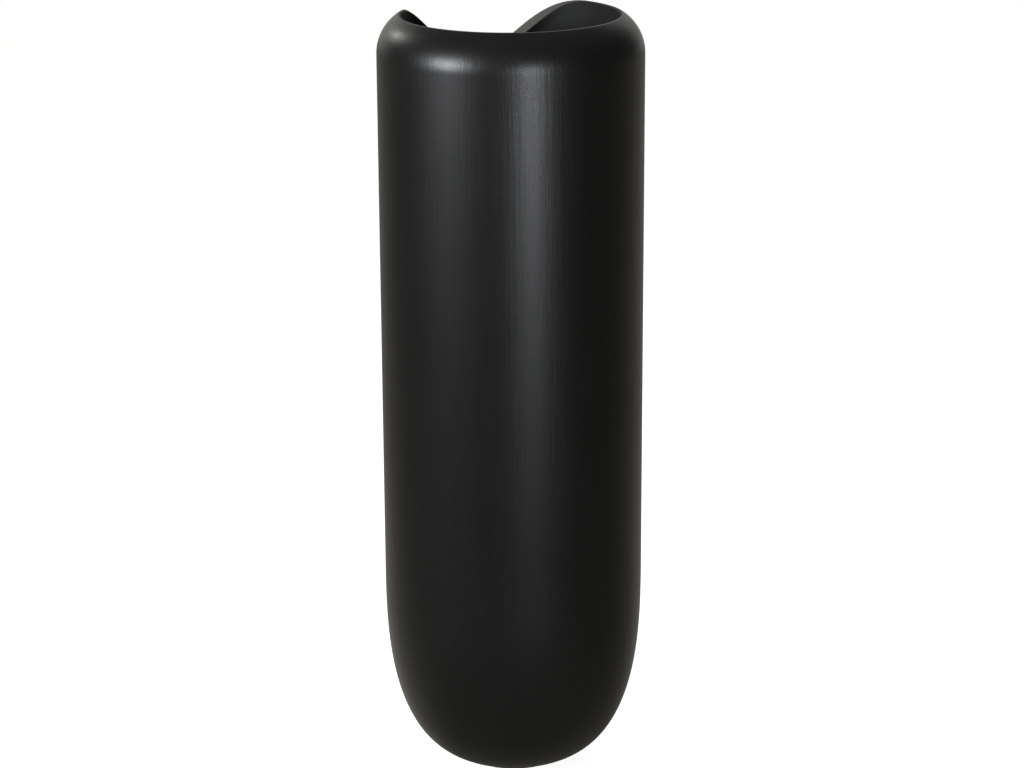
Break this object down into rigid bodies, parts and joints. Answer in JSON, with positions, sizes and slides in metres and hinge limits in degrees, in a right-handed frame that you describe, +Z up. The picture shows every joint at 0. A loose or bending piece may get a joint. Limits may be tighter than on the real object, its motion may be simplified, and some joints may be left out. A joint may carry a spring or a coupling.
{
  "type": "pedestal sink",
  "caption": "Freestanding round column basin with a rolled shoulder, a scooped rear rim, a push-open waste, a bottle trap out through the back and a magnetic service panel.",
  "frame": {"origin": "centre of the foot's underside, on the floor, on the column's axis", "axes": "+Z up along the column's axis, +Y towards the wall behind the scooped rim and the waste outlet, the user stands at -Y"},
  "size_m": [0.305, 0.3575, 0.9],
  "materials": {
    "casting": "satin",
    "black_fitting": "satin",
    "polypropylene": "satin",
    "rubber": "matte",
    "sealant": "satin",
    "steel": "satin",
    "nickel": "gloss"
  },
  "bodies": {
    "column": {"column_shell": "casting", "bowl": "casting", "waste_body": "black_fitting", "back_nut": "black_fitting", "outlet_tube": "black_fitting", "wall_rosette": "black_fitting", "plug_cartridge": "polypropylene", "trap_inlet_nut": "polypropylene", "trap_inlet_tube": "polypropylene", "trap_body": "polypropylene", "trap_top_nut": "polypropylene", "outlet_nut": "polypropylene", "floor_mat": "rubber", "bowl_gasket": "rubber", "flange_gasket": "rubber", "waste_washer": "rubber", "trap_inlet_washer": "rubber", "trap_top_seal": "rubber", "outlet_seal": "rubber", "pipe_grommet": "rubber", "bowl_seal": "sealant", "floor_plate": "steel", "plug_spring": "steel", "hold_down_screw_1": "steel", "hold_down_washer_1": "steel", "panel_keeper_1": "steel", "hold_down_screw_2": "steel", "hold_down_washer_2": "steel", "panel_keeper_2": "steel", "hold_down_screw_3": "steel", "hold_down_washer_3": "steel", "panel_keeper_3": "steel", "hold_down_screw_4": "steel", "hold_down_washer_4": "steel", "panel_keeper_4": "steel"},
    "plug": {"plug_cap": "black_fitting", "plug_seal": "rubber", "plug_stem": "steel"},
    "panel": {"access_panel": "casting", "panel_magnet_1": "nickel", "panel_magnet_2": "nickel", "panel_magnet_3": "nickel", "panel_magnet_4": "nickel"},
    "cup": {"trap_cup": "polypropylene", "cup_seal": "rubber"},
    "nut": {"cup_nut": "polypropylene"}
  },
  "joints": [
    {"name": "plug_press", "type": "slide", "parent": "column", "child": "plug", "axis": [0, 0, 1], "range_m": [-0.008, 0], "stiffness_N_per_m": 400, "springref_m": 0.01, "deforming": ["plug_spring"]},
    {"name": "panel_pull", "type": "slide", "parent": "column", "child": "panel", "axis": [0, 1, 0], "range_m": [0, 0.08]},
    {"name": "cup_drop", "type": "slide", "parent": "column", "child": "cup", "axis": [0, 0, -1], "range_m": [0, 0.0121]},
    {"name": "nut_turn", "type": "hinge", "parent": "cup", "child": "nut", "pos_m": [0, 0, 0.5], "axis": [0, 0, 1], "range_deg": [0, 1080]}
  ],
  "couplings": [
    {"joint": "cup_drop", "follows": "nut_turn", "m_per_rad": 0.00063662}
  ]
}
